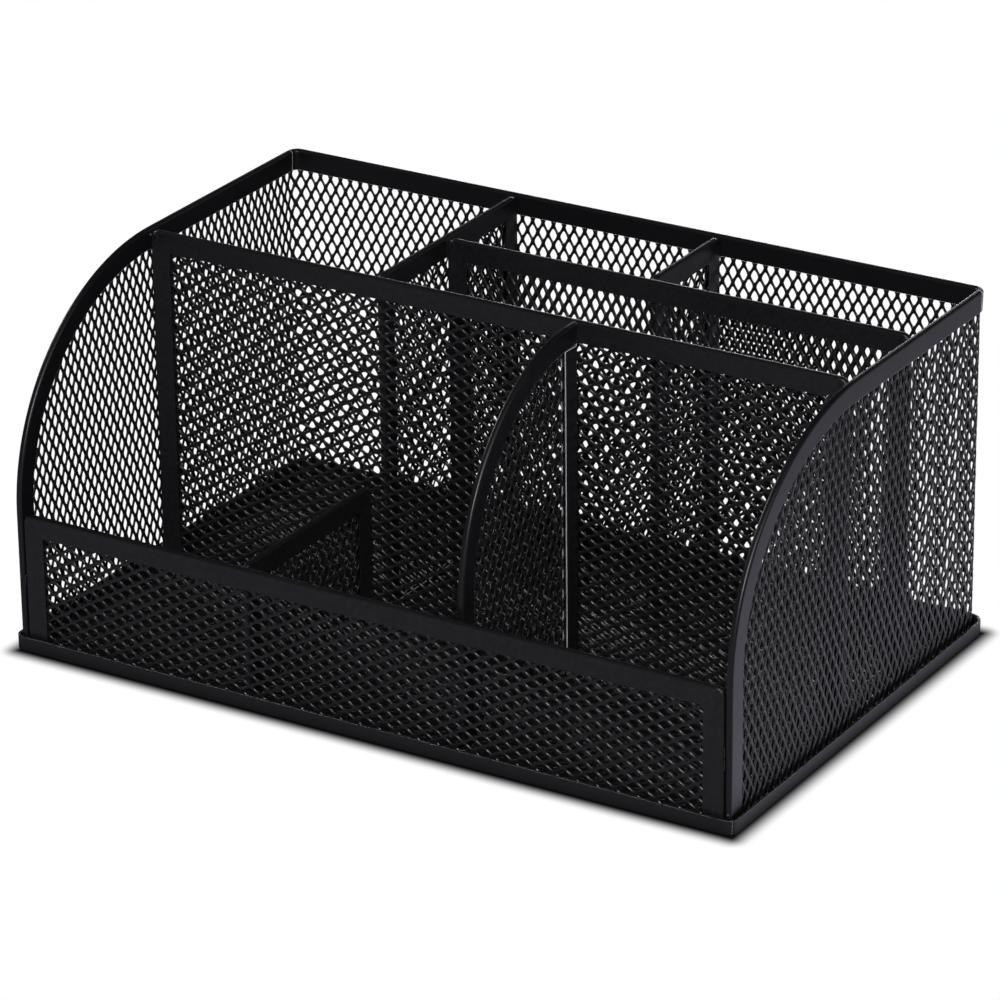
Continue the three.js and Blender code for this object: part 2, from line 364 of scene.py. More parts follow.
def opening_cell(tree, group):
    """One opening with half of each strand round it, flat, as a ring of faces."""
    points_round_opening = 12
    circle = made(tree, "GeometryNodeMeshCircle", {
        "Vertices": points_round_opening, "Radius": 1.0,
    }, fill_type="NONE")
    turn = put(tree, "GeometryNodeCaptureAttribute", {"Geometry": circle})
    turn.capture_items.new("VECTOR", "Place on circle")
    tree.links.new(position(tree), turn.inputs[1])
    ring = put(tree, "GeometryNodeExtrudeMesh", {
        "Mesh": turn.outputs[0], "Offset": (0, 0, 0), "Offset Scale": 0.0,
    }, mode="EDGES")
    split = parts(tree, turn.outputs[1])
    signs = [maths(tree, "SIGN", split[axis]) for axis in (0, 1)]
    reaches = [maths(tree, "ABSOLUTE", split[axis]) for axis in (0, 1)]
    exponent = over(tree, 2.0, group["Roundness"])
    across, up = (
        times(tree, sign, maths(tree, "POWER", reach, exponent)) for sign, reach in zip(signs, reaches)
    )
    opening = vector(tree, times(tree, across, group["Opening Across"], 0.5),
                     times(tree, up, group["Opening Up"], 0.5))
    share = over(tree, maths(tree, "ARCSINE", maths(tree, "MINIMUM", reaches[1], 1.0)), math.pi / 2)
    border = vector(tree, times(tree, signs[0], minus(tree, 1.0, share), group["Pitch Across"], 0.5),
                    times(tree, signs[1], share, group["Pitch Up"], 0.5))
    outer = ring.outputs["Top"]
    outside = moved(tree, ring.outputs["Mesh"], Selection=outer, Position=border)
    marked = store(tree, outside, outer, "strand_middle", 1.0)
    inner = compared(tree, "LESS_THAN", stored(tree, "strand_middle"), 0.5)
    holed = moved(tree, marked, Selection=inner, Position=opening)
    lean = plus(tree, times(tree, across, group["Lean Across"]), times(tree, up, group["Lean Up"]))
    return store(tree, holed, inner, "strand_lean", lean)


def lattice(tree, group):
    """Points at the middles of the openings that lie inside the outline, in half-offset rows."""
    box = put(tree, "GeometryNodeBoundBox", {"Geometry": group["Geometry"]}).outputs
    low, high = parts(tree, box["Min"]), parts(tree, box["Max"])
    halves = [times(tree, group[name], 0.5) for name in ("Pitch Across", "Pitch Up")]
    shifts = [group["Shift Across"], group["Shift Up"]]

    def steps_to(place, axis, rounding):
        """Half pitches from the pattern's start to a place."""
        return maths(tree, rounding, over(tree, minus(tree, place[axis], shifts[axis]), halves[axis]))

    counts, middles, sizes = [], [], []
    for axis in (0, 1):
        first, last = steps_to(low, axis, "FLOOR"), steps_to(high, axis, "CEIL")
        steps = minus(tree, last, first)
        counts.append(plus(tree, steps, 1.0))
        sizes.append(times(tree, steps, halves[axis]))
        middles.append(plus(tree, times(tree, plus(tree, first, last), halves[axis], 0.5), shifts[axis]))
    grid = made(tree, "GeometryNodeMeshGrid", {
        "Size X": sizes[0], "Size Y": sizes[1], "Vertices X": counts[0], "Vertices Y": counts[1],
    })
    grid = moved(tree, grid, Offset=vector(tree, *middles))
    place = position(tree)
    at = parts(tree, place)
    odd = maths(tree, "FLOORED_MODULO",
                plus(tree, steps_to(at, 0, "ROUND"), steps_to(at, 1, "ROUND")), 2.0)
    kept = compared(tree, "LESS_THAN", odd, 0.5)
    kept = both(tree, kept, compared(tree, "GREATER_THAN", at[0], group["Least Across"]))
    kept = both(tree, kept, compared(tree, "LESS_THAN", at[0], group["Most Across"]))
    # An opening is kept when its four tips are over the outline, seen from a little above.
    tip_reach = 0.94
    height = 0.01
    for across, up in ((1, 0), (0, 1), (-1, 0), (0, -1)):
        tip = vector(tree, times(tree, halves[0], across * tip_reach),
                     times(tree, halves[1], up * tip_reach), height)
        seen = put(tree, "GeometryNodeRaycast", {
            "Target Geometry": group["Geometry"],
            "Source Position": vector_maths(tree, "ADD", value=place, other=tip),
            "Ray Direction": (0, 0, -1), "Ray Length": 2 * height,
        }).outputs["Is Hit"]
        kept = both(tree, kept, seen)
    return made(tree, "GeometryNodeMeshToPoints", {"Mesh": grid, "Selection": kept})


def build_mesh_tree():
    """The tree that fills a flat outline with expanded mesh."""
    merge_distance = 0.02 * MM
    wander_scale = 140.0
    wander_gain = 4.0
    numbers = {
        "Pitch Across": 3.3 * MM, "Pitch Up": 5.9 * MM, "Opening Across": 2.3 * MM,
        "Opening Up": 4.5 * MM, "Roundness": 1.3, "Shift Across": 0.0, "Shift Up": 0.0,
        "Least Across": -1.0, "Most Across": 1.0, "Lean Across": 0.0, "Lean Up": 0.0,
        "Thickness": 0.6 * MM, "Shoulder": 0.15 * MM, "Unevenness": 0.07 * MM, "Seed": 0.0,
    }
    inputs = [(label, "Float", default) for label, default in numbers.items()]
    tree, group, output = new_geometry_tree("Expanded Mesh", [*inputs, ("Material", "Material", None)])
    cell = opening_cell(tree, group)
    cells = made(tree, "GeometryNodeInstanceOnPoints", {"Points": lattice(tree, group), "Instance": cell})
    flat = merged(tree, realized(tree, cells), merge_distance)
    solid = solidified(tree, flat, group["Thickness"], merge_distance, direction=(0, 0, 1))

    place = position(tree)
    at = parts(tree, place)
    half_thickness = times(tree, group["Thickness"], 0.5)
    side = made(tree, "GeometryNodeSwitch", {
        "Switch": compared(tree, "GREATER_THAN", at[2], half_thickness), "False": -1.0, "True": 1.0,
    }, input_type="FLOAT")
    drop = times(tree, minus(tree, 1.0, stored(tree, "strand_middle")), group["Shoulder"])
    level = times(tree, side, minus(tree, half_thickness, drop))
    height = plus(tree, level, stored(tree, "strand_lean"))
    rounded = moved(tree, solid, Position=vector(tree, at[0], at[1], height))

    flattened = vector_maths(tree, "MULTIPLY", value=place, other=(1, 1, 0))
    noise = put(tree, "ShaderNodeTexNoise", {
        "Vector": flattened, "W": group["Seed"], "Scale": wander_scale, "Detail": 1.0,
    }, noise_dimensions="4D").outputs["Color"]
    centred = vector_maths(tree, "SUBTRACT", value=noise, other=(0.5, 0.5, 0.5))
    wander = vector_maths(
        tree, "SCALE", value=centred, scale=times(tree, group["Unevenness"], wander_gain))
    finished_end(tree, moved(tree, rounded, Offset=wander), group["Material"], output)
    return tree


def build_wrap_tree():
    """The tree that bends a flat sheet round the two back corners.

    Across becomes the way along the wall, up stays up, and the sheet's own thickness points out.
    """
    tree, group, output = new_geometry_tree("Wrap Round Back Corners", [
        ("Flat Half Width", "Float", 0.1),
        ("Corner Radius", "Float", 2.4 * MM),
        ("Back", "Float", 0.0675),
    ])
    flat, radius = group["Flat Half Width"], group["Corner Radius"]
    at = parts(tree, position(tree))
    side = maths(tree, "SIGN", at[0])
    run = maths(tree, "ABSOLUTE", at[0])
    past = minus(tree, run, flat)
    turn = maths(tree, "MINIMUM", maths(tree, "MAXIMUM", over(tree, past, radius), 0.0), math.pi / 2)
    arm = plus(tree, radius, at[2])
    straight = maths(tree, "MINIMUM", run, flat)
    x = times(tree, side, plus(tree, straight, times(tree, arm, maths(tree, "SINE", turn))))
    bend = times(tree, radius, math.pi / 2)
    down_the_side = maths(tree, "MAXIMUM", minus(tree, past, bend), 0.0)
    out = plus(tree, minus(tree, group["Back"], radius), times(tree, arm, maths(tree, "COSINE", turn)))
    y = minus(tree, out, down_the_side)
    bent = moved(tree, group["Geometry"], Position=vector(tree, x, y, at[1]))
    tree.links.new(realized(tree, bent), output[0])
    return tree


# ---- Bent strip -----------------------------------------------------------------------------------


def build_strip_tree():
    """The tree that bends a strip of sheet to a section and runs it along a path.

    A section corner is (inwards from the path, to the other side of the panel, 0).
    """
    fold_steps = 6
    most_corners = 4
    merge_distance = 0.005 * MM
    labels = [f"Corner {number + 1}" for number in range(most_corners)]
    tree, group, output = new_geometry_tree("Bent Strip", [
        ("Path", "Object", None),
        ("Section Corners", "Int", most_corners),
        *((label, "Vector", (0, 0, 0)) for label in labels),
        ("Fold Radius", "Float", 0.7 * MM),
        ("Sheet", "Float", 0.4 * MM),
        ("Material", "Material", None),
    ])
    line = made(tree, "GeometryNodeMeshLine", {"Count": group["Section Corners"]})
    curve = made(tree, "GeometryNodeMeshToCurve", {0: line})
    corner = put(tree, "GeometryNodeIndexSwitch", {}, data_type="VECTOR")
    while len(corner.index_switch_items) < most_corners:
        corner.index_switch_items.new()
    tree.links.new(made(tree, "GeometryNodeInputIndex"), corner.inputs["Index"])
    for number, label in enumerate(labels):
        tree.links.new(group[label], corner.inputs[number + 1])
    section = moved(tree, curve, Position=corner.outputs[0])
    folded = made(tree, "GeometryNodeFilletCurve", {
        "Curve": section, "Radius": group["Fold Radius"], "Count": fold_steps,
    }, mode="POLY")
    path = put(tree, "GeometryNodeObjectInfo", {"Object": group["Path"]}).outputs["Geometry"]
    level = made(tree, "GeometryNodeSetCurveNormal", {"Curve": path}, mode="Z_UP")
    swept = made(tree, "GeometryNodeCurveToMesh", {"Curve": level, "Profile Curve": folded})
    back_half = vector_maths(
        tree, "SCALE", value=made(tree, "GeometryNodeInputNormal"), scale=times(tree, group["Sheet"], -0.5))
    solid = solidified(tree, moved(tree, swept, Offset=back_half), group["Sheet"], merge_distance)
    finished_end(tree, solid, group["Material"], output)
    return tree


def build_weld_tree():
    """The tree that puts a flattened bead at each point, a little uneven in size."""
    tree, group, output = new_geometry_tree("Weld Beads", [
        ("Least Scale", "Float", 0.8),
        ("Most Scale", "Float", 1.15),
        ("Seed", "Int", 0),
        ("Material", "Material", None),
    ])
    bead = made(tree, "GeometryNodeMeshIcoSphere", {"Radius": 1.0, "Subdivisions": 3})
    size = stored(tree, "bead_size", "FLOAT_VECTOR")
    uneven = put(tree, "FunctionNodeRandomValue", {
        2: group["Least Scale"], 3: group["Most Scale"], "Seed": group["Seed"],
    }, data_type="FLOAT").outputs[1]
    beads = made(tree, "GeometryNodeInstanceOnPoints", {
        "Points": group["Geometry"], "Instance": bead,
        "Scale": vector_maths(tree, "SCALE", value=size, scale=uneven),
    })
    finished_end(tree, beads, group["Material"], output)
    return tree


# ---- Making pieces --------------------------------------------------------------------------------


def span(*nodes):
    """Lowest and highest corner round several nodes of the frame."""
    boxes = [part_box(node) for node in nodes]
    low = Vector([min(box[0][axis] for box in boxes) for axis in range(3)])
    high = Vector([max(box[1][axis] for box in boxes) for axis in range(3)])
    return low, high


def placing(turn, low, high):
    """The matrix that stands a flat panel up at the middle of its thickness."""
    normal = turn.col[2]
    middle = (low + high) / 2
    return Matrix.Translation(normal * middle.dot(normal)) @ turn.to_4x4()


def along(turn, low, high):
    """Start and end of a panel along its own first direction."""
    direction = turn.col[0]
    return low.dot(direction), high.dot(direction)


def arc(centre, radius, start, end, steps=8):
    """Points of an arc, from one angle to another."""
    angles = [start + (end - start) * step / steps for step in range(steps + 1)]
    return [Vector((centre[0] + radius * math.cos(a), centre[1] + radius * math.sin(a))) for a in angles]


def quarter_ellipse(front, curve_end, springing, top, inset=0.0, steps=36):
    """The curve from a front edge to a level top, moved in by an inset."""
    points = []
    half_width = curve_end - front
    half_height = top - springing
    for step in range(steps + 1):
        angle = math.pi / 2 * step / steps
        outward = Vector((-math.cos(angle) / half_width, math.sin(angle) / half_height)).normalized()
        edge = Vector((curve_end - half_width * math.cos(angle), springing + half_height * math.sin(angle)))
        points.append(edge - inset * outward)
    return points


def outline_object(points):
    """A flat face with the given corners, to be filled by a tree."""
    mesh = bpy.data.meshes.new("outline")
    mesh.from_pydata([(x, y, 0) for x, y in points], [], [range(len(points))])
    outline = bpy.data.objects.new("outline", mesh)
    bpy.context.scene.collection.objects.link(outline)
    return outline


def path_object(points, closed=False):
    """A path for a strip, in the local plane."""
    curve = bpy.data.curves.new("path", "CURVE")
    curve.dimensions = "3D"
    spline = curve.splines.new("POLY")
    spline.points.add(len(points) - 1)
    for point, (x, y) in zip(spline.points, points):
        point.co = (x, y, 0, 1)
    spline.use_cyclic_u = closed
    path = bpy.data.objects.new("path", curve)
    bpy.context.scene.collection.objects.link(path)
    return path


def plain_mesh(carrier):
    """The result of a carrier's modifiers as a plain mesh. The carrier is removed."""
    graph = bpy.context.evaluated_depsgraph_get()
    mesh = bpy.data.meshes.new_from_object(carrier.evaluated_get(graph), depsgraph=graph)
    bpy.data.objects.remove(carrier)
    if not mesh.polygons:
        raise RuntimeError("a tree made no faces")
    return mesh


def shape(mesh, work):
    """Runs a function on a mesh as a bmesh."""
    worked = bmesh.new()
    worked.from_mesh(mesh)
    work(worked)
    worked.to_mesh(mesh)
    worked.free()
    mesh.update()


def cut(worked, point, normal):
    """Keeps the part that the normal points to, and closes the cut."""
    everything = worked.verts[:] + worked.edges[:] + worked.faces[:]
    nearness = 1e-7
    result = bmesh.ops.bisect_plane(
        worked, geom=everything, dist=nearness, plane_co=point, plane_no=normal, clear_inner=True,
    )
    edges = [item for item in result["geom_cut"] if isinstance(item, bmesh.types.BMEdge)]
    bmesh.ops.holes_fill(worked, edges=edges)


def round_edges(worked, width):
    """Rounds the sharp edges of a strip, as its coating does."""
    sharp_angle = math.radians(50)
    merge_distance = 0.002 * MM
    bmesh.ops.remove_doubles(worked, verts=worked.verts, dist=merge_distance)
    bmesh.ops.dissolve_degenerate(worked, edges=worked.edges, dist=merge_distance)
    bmesh.ops.recalc_face_normals(worked, faces=worked.faces)
    sharp = [e for e in worked.edges if len(e.link_faces) == 2 and e.calc_face_angle(0) > sharp_angle]
    bmesh.ops.bevel(
        worked, geom=sharp, offset=width, offset_type="OFFSET", segments=2, profile=0.5,
        affect="EDGES", clamp_overlap=True,
    )


def flat_shading(mesh):
    """Lets the widest faces settle the normals, so that a flange looks flat up to its rounded edges."""
    carrier = bpy.data.objects.new("strip", mesh)
    bpy.context.scene.collection.objects.link(carrier)
    weighting = carrier.modifiers.new("Weighted Normal", "WEIGHTED_NORMAL")
    weighting.mode = "FACE_AREA"
    weighting.keep_sharp = True
    return plain_mesh(carrier)


def add_piece(name, mesh, slot, *nodes):
    """Adds a finished mesh as a piece of the organizer."""
    flat_angle = math.radians(38)
    mesh.polygons.foreach_set("use_smooth", [True] * len(mesh.polygons))
    if slot != MESH_SLOT:
        mesh.set_sharp_from_angle(angle=flat_angle)
        mesh = flat_shading(mesh)
    mesh.name = name
    piece = bpy.data.objects.new(name, mesh)
    bpy.context.scene.collection.objects.link(piece)
    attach(piece, "root")
    if nodes:
        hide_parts(*nodes)
    return piece


def tree_named(name, build):
    """A tree that is built once and then shared."""
    return bpy.data.node_groups.get(name) or build()


def mesh_values(upright, seed):
    """Inputs of the mesh tree, for diamonds that stand or that lie along the panel."""
    sizes = bpy.context.scene.organizer_mesh
    short = sizes.short_pitch if upright else sizes.wide_short_pitch
    long = sizes.long_pitch
    # The strand's width is what the opening leaves along the diamond's slanted sides.
    bulge = 2 ** (1 - 1 / sizes.roundness)
    share = (1 - sizes.strand * math.hypot(short, long) / (short * long)) / bulge
    opening = (short * share, long * share)
    pitch = (short, long)
    lean = (sizes.lean, 0.0)
    if not upright:
        pitch, opening, lean = pitch[::-1], opening[::-1], lean[::-1]
    return {
        "Pitch Across": pitch[0], "Pitch Up": pitch[1],
        "Opening Across": opening[0], "Opening Up": opening[1],
        "Roundness": sizes.roundness,
        "Lean Across": lean[0], "Lean Up": lean[1],
        "Thickness": sizes.thickness, "Shoulder": sizes.shoulder,
        "Unevenness": sizes.unevenness, "Seed": float(seed),
        "Material": mesh_coat(),
    }


def expanded_sheet(points, upright, seed, shift, wrap=None, limits=(-1.0, 1.0)):
    """A sheet of expanded mesh that fills an outline, with its openings' middles between the limits."""
    outline = outline_object(points)
    values = mesh_values(upright, seed)
    values["Shift Across"], values["Shift Up"] = shift
    values["Least Across"], values["Most Across"] = limits
    add_tree(outline, tree_named("Expanded Mesh", build_mesh_tree), values)
    if wrap:
        add_tree(outline, tree_named("Wrap Round Back Corners", build_wrap_tree), wrap)
    mesh = plain_mesh(outline)
    for name in ("strand_middle", "strand_lean"):
        if name in mesh.attributes:
            mesh.attributes.remove(mesh.attributes[name])
    shape(mesh, lambda worked: bmesh.ops.recalc_face_normals(worked, faces=worked.faces))
    return mesh


def bent_strip(points, section, fold_radius, sheet, material, closed=False):
    """A strip of sheet bent to a section and run along a path, as a plain mesh."""
    path = path_object(points, closed)
    carrier = outline_object([(0, 0), (1, 0), (0, 1)])
    values = {
        "Path": path, "Section Corners": len(section), "Fold Radius": fold_radius, "Sheet": sheet,
        "Material": material,
    }
    for number, (inwards, side) in enumerate(section):
        values[f"Corner {number + 1}"] = (inwards, -side, 0)
    add_tree(carrier, tree_named("Bent Strip", build_strip_tree), values)
    mesh = plain_mesh(carrier)
    bpy.data.objects.remove(path)
    return mesh


def channel(points, leg, half_thickness):
    """A folded channel along a path, open towards the inside of the panel."""
    sizes = bpy.context.scene.organizer_strip
    half = half_thickness - sizes.sheet / 2
    fold = sizes.sheet / 2
    free = half - sizes.pinch
    section = [(leg, free), (fold, half), (fold, -half), (leg, -free)]
    return bent_strip(points, section, half * sizes.fold_share, sizes.sheet, strip_coat())


def finish_strip(name, mesh, matrix, cuts, slot, *nodes):
    """Cuts a strip to length, rounds its edges, puts it in place and adds it as a piece."""
    width = bpy.context.scene.organizer_strip.edge_radius

    def work(worked):
        for point, normal in cuts:
            cut(worked, Vector((*point, 0)), Vector((*normal, 0)))
        round_edges(worked, width)
        # The base's flat leg is wider than its corner radius, so it crosses itself in the bend and
        # would hang below the floor there. This presses it up to the floor. The crossing stays.
        if slot == BASE_SLOT:
            for vertex in worked.verts:
                vertex.co.z = max(vertex.co.z, 0)

    shape(mesh, work)
    mesh.transform(matrix)
    return add_piece(name, mesh, slot, *nodes)


# ---- Powder coat ----------------------------------------------------------------------------------


def ramp(tree, value, start, end, low=0.0, high=1.0, smooth=False):
    """A value taken from one range to another and held at its ends."""
    return made(tree, "ShaderNodeMapRange", {
        "Value": value, "From Min": start, "From Max": end, "To Min": low, "To Max": high,
    }, interpolation_type="SMOOTHSTEP" if smooth else "LINEAR")


def blend(tree, share, first, second):
    """Two colours mixed."""
    return put(tree, "ShaderNodeMix", {"Factor": share, 6: first, 7: second}, data_type="RGBA").outputs[2]


def noise(tree, place, scale, detail, roughness=0.5):
    return put(tree, "ShaderNodeTexNoise", {
        "Vector": place, "Scale": scale, "Detail": detail, "Roughness": roughness,
    }).outputs["Fac"]


def new_shader_group(name, inputs, outputs):
    """A shader node group that takes a place and named numbers, and gives named numbers."""
    group = bpy.data.node_groups.new(name, "ShaderNodeTree")
    group.interface.new_socket("Vector", in_out="INPUT", socket_type="NodeSocketVector")
    for label, default in inputs.items():
        socket = group.interface.new_socket(label, in_out="INPUT", socket_type="NodeSocketFloat")
        socket.default_value = default
    for label in outputs:
        group.interface.new_socket(label, in_out="OUTPUT", socket_type="NodeSocketFloat")
    return group, group.nodes.new("NodeGroupInput").outputs, group.nodes.new("NodeGroupOutput").inputs


def build_coat_texture():
    """Orange peel and powder grain: a height, and a mask that varies the gloss."""
    cloud_scale = 70.0
    cloud_share = 0.5
    group, given, results = new_shader_group("Powder Coat Texture", {
        "Peel Scale": 1500.0, "Grain Scale": 6000.0, "Grain Share": 0.35,
    }, ("Height", "Gloss Mask"))
    place = given["Vector"]
    peel = noise(group, place, given["Peel Scale"], 2.0, 0.55)
    grain = noise(group, place, given["Grain Scale"], 1.0)
    cloud = noise(group, place, cloud_scale, 3.0)
    height = made(group, "ShaderNodeMix", {
        "Factor": given["Grain Share"], "A": peel, "B": grain,
    }, data_type="FLOAT")
    mask = made(group, "ShaderNodeMix", {"Factor": cloud_share, "A": cloud, "B": grain}, data_type="FLOAT")
    group.links.new(height, results["Height"])
    group.links.new(mask, results["Gloss Mask"])
    return group


def build_edge_wear():
    """A broken mask along the outer edges, where a coat is thinnest and rubs first."""
    group, given, results = new_shader_group("Edge Wear", {
        "Break Scale": 900.0, "Start": 0.53, "End": 0.62,
    }, ("Mask",))
    pointed = put(group, "ShaderNodeNewGeometry").outputs["Pointiness"]
    edge = ramp(group, pointed, given["Start"], given["End"])
    broken = ramp(group, noise(group, given["Vector"], given["Break Scale"], 3.0), 0.35, 0.65)
    group.links.new(times(group, edge, broken), results["Mask"])
    return group


def build_dust():
    """Fine pale dust that settles on faces that look up."""
    group, given, results = new_shader_group("Settled Dust", {"Speck Scale": 2600.0}, ("Mask",))
    normal = put(group, "ShaderNodeNewGeometry").outputs["Normal"]
    lying = ramp(group, parts(group, normal)[2], 0.2, 1.0)
    specks = ramp(group, noise(group, given["Vector"], given["Speck Scale"], 2.0), 0.58, 0.75)
    group.links.new(times(group, lying, specks), results["Mask"])
    return group


def shader_group(tree, build, name, place):
    """Places a shared group in a material, building it the first time."""
    node = tree.nodes.new("ShaderNodeGroup")
    node.node_tree = tree_named(name, build)
    tree.links.new(place, node.inputs["Vector"])
    return node.outputs


def powder_coat(name, colour, roughness, specular, peel_depth, wear):
    """A satin powder coat with its texture, its worn edges and a little dust."""
    material = bpy.data.materials.get(name)
    if material:
        return material
    rubbed_colour = (0.09, 0.09, 0.095, 1)
    dust_colour = (0.16, 0.16, 0.16, 1)
    dust_share = 0.05
    shinier, duller = 0.05, 0.06
    material = bpy.data.materials.new(name)
    material.use_nodes = True
    tree = material.node_tree
    shader = tree.nodes["Principled BSDF"]
    place = put(tree, "ShaderNodeTexCoord").outputs["Object"]
    texture = shader_group(tree, build_coat_texture, "Powder Coat Texture", place)
    worn = shader_group(tree, build_edge_wear, "Edge Wear", place)["Mask"]
    dust = shader_group(tree, build_dust, "Settled Dust", place)["Mask"]

    rubbed = blend(tree, times(tree, worn, wear), colour, rubbed_colour)
    dusted = blend(tree, times(tree, dust, dust_share), rubbed, dust_colour)
    gloss = ramp(tree, texture["Gloss Mask"], 0.3, 0.7, roughness - shinier, roughness + duller)
    bump = made(tree, "ShaderNodeBump", {
        "Height": texture["Height"], "Strength": 1.0, "Distance": peel_depth,
    })
    tree.links.new(dusted, shader.inputs["Base Color"])
    tree.links.new(gloss, shader.inputs["Roughness"])
    tree.links.new(bump, shader.inputs["Normal"])
    shader.inputs["Specular IOR Level"].default_value = specular
    return material


def mesh_coat():
    finish = bpy.context.scene.organizer_finish
    return powder_coat("Mesh Powder Coat", finish.mesh_colour, roughness=finish.gloss - 0.06,
                       specular=0.45, peel_depth=0.010 * MM, wear=0.1)


def strip_coat():
    finish = bpy.context.scene.organizer_finish
    return powder_coat("Strip Powder Coat", finish.strip_colour, roughness=finish.gloss,
                       specular=0.4, peel_depth=0.012 * MM, wear=0.06)


def base_coat():
    finish = bpy.context.scene.organizer_finish
    return powder_coat("Base Powder Coat", finish.base_colour, roughness=finish.gloss,
                       specular=0.4, peel_depth=0.012 * MM, wear=0.15)


def weld_coat():
    finish = bpy.context.scene.organizer_finish
    return powder_coat("Weld Powder Coat", finish.strip_colour, roughness=0.26,
                       specular=0.5, peel_depth=0.02 * MM, wear=0.2)


# ---- The organizer's own sizes, read from the frame ------------------------------------------------


def strip_leg():
    """Width of the folded strip's legs."""
    low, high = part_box("back_rim")
    return high.z - low.z


def half_panel():
    """Half the thickness of a bound edge."""
    low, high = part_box("back_rim")
    return (high.y - low.y) / 2


def springing():
    """Level at which the quarter-round edges leave the upright: the top of the front panel."""
    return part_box("front_panel_top_strip")[1].z


def back_wall_middle():
    """Distance of the middle of the back wall, and of the middles of the side walls."""
    low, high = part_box("back_rim")
    side_low, side_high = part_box("right_side_rim")
    return (low.y + high.y) / 2, (side_low.x + side_high.x) / 2


def corner_run():
    """Half the flat width of the back, and the length of sheet in one corner bend."""
    radius = bpy.context.scene.organizer_mesh.corner_radius
    side = back_wall_middle()[1]
    return side - radius, radius * math.pi / 2


# ---- Operators ------------------------------------------------------------------------------------


class ORGANIZER_OT_wrapped_mesh(bpy.types.Operator):
    """Makes the sheet of mesh that forms the two sides and the back, bent round the back corners"""

    bl_idname = "organizer.wrapped_mesh"
    bl_label = "Side and Back Mesh"

    def execute(self, context):
        sizes = context.scene.organizer_mesh
        back = back_wall_middle()[0]
        flat, bend = corner_run()
        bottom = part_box("back_mesh")[0].z
        low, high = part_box("right_side_mesh")
        rim_low, rim_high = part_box("right_side_rim")
        inset = low.y - rim_low.y
        curve_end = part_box("mid_wall_top_strip")[1].y
        shift = (0.0, bottom)
        wrap = {"Flat Half Width": flat, "Corner Radius": sizes.corner_radius, "Back": back}
        # The three pieces share the zigzag of strands just past each bend.
        half_pitch = sizes.short_pitch / 2
        seam = (math.ceil((flat + bend) / half_pitch) + 0.5) * half_pitch
        reach = seam + sizes.short_pitch
        top = high.z
        corners = [(-reach, bottom), (reach, bottom), (reach, top), (-reach, top)]
        mesh = expanded_sheet(corners, True, 1, shift, wrap, (-seam, seam))
        add_piece("back_mesh_expanded", mesh, MESH_SLOT, "back_mesh")

        def run_of(y):
            return flat + bend + (back - sizes.corner_radius - y)

        edge = quarter_ellipse(rim_low.y, curve_end, springing(), rim_high.z, inset)
        outline = [(seam - sizes.short_pitch, bottom), (seam - sizes.short_pitch, top)]
        outline += [(run_of(y), z) for y, z in reversed(edge)]
        outline += [(run_of(rim_low.y + inset), bottom)]
        for side, name, limits in ((1, "right", (seam, 1.0)), (-1, "left", (-1.0, -seam))):
            points = [(side * x, z) for x, z in outline]
            if side > 0:
                points.reverse()
            mesh = expanded_sheet(points, True, 1, shift, wrap, limits)
            add_piece(f"{name}_side_mesh_expanded", mesh, MESH_SLOT, f"{name}_side_mesh")
        return {"FINISHED"}


class ORGANIZER_OT_panel_mesh(bpy.types.Operator):
    """Makes the mesh of the front panel, the cross walls, the dividers and the floor"""

    bl_idname = "organizer.panel_mesh"
    bl_label = "Panel and Floor Mesh"

    def execute(self, context):
        upright = {"slot_wall", "rear_divider", "small_divider", "low_divider"}
        for seed, (name, (turn, _, _)) in enumerate(FRAMED_PANELS.items()):
            low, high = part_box(f"{name}_mesh")
            start, end = along(turn, low, high)
            points = [(start, low.z), (end, low.z), (end, high.z), (start, high.z)]
            shift = SHEET_STARTS.get(name, ((start + end) / 2, low.z))
            mesh = expanded_sheet(points, name in upright, seed + 2, shift)
            mesh.transform(placing(turn, low, high))
            add_piece(f"{name}_mesh_expanded", mesh, MESH_SLOT, f"{name}_mesh")

        low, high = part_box("curved_divider_mesh")
        rim_low, rim_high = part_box("curved_divider_rim")
        inset = low.y - rim_low.y
        curve_end = rim_high.y - context.scene.organizer_strip.corner_radius
        edge = quarter_ellipse(rim_low.y, curve_end, springing(), rim_high.z, inset)
        outline = [(low.y, low.z), (high.y, low.z), (high.y, high.z)]
        outline += [(y, z) for y, z in reversed(edge)]
        mesh = expanded_sheet(outline, True, 9, (0.0, low.z))
        mesh.transform(placing(FRONT_TO_BACK, low, high))
        add_piece("curved_divider_mesh_expanded", mesh, MESH_SLOT, "curved_divider_mesh")

        low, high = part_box("floor_mesh")
        outline = [(low.x, low.y), (high.x, low.y), (high.x, high.y), (low.x, high.y)]
        mesh = expanded_sheet(outline, False, 10, (0.0, 0.0))
        mesh.transform(Matrix.Translation((0, 0, (low.z + high.z) / 2)))
        add_piece("floor_mesh_expanded", mesh, MESH_SLOT, "floor_mesh")
        return {"FINISHED"}


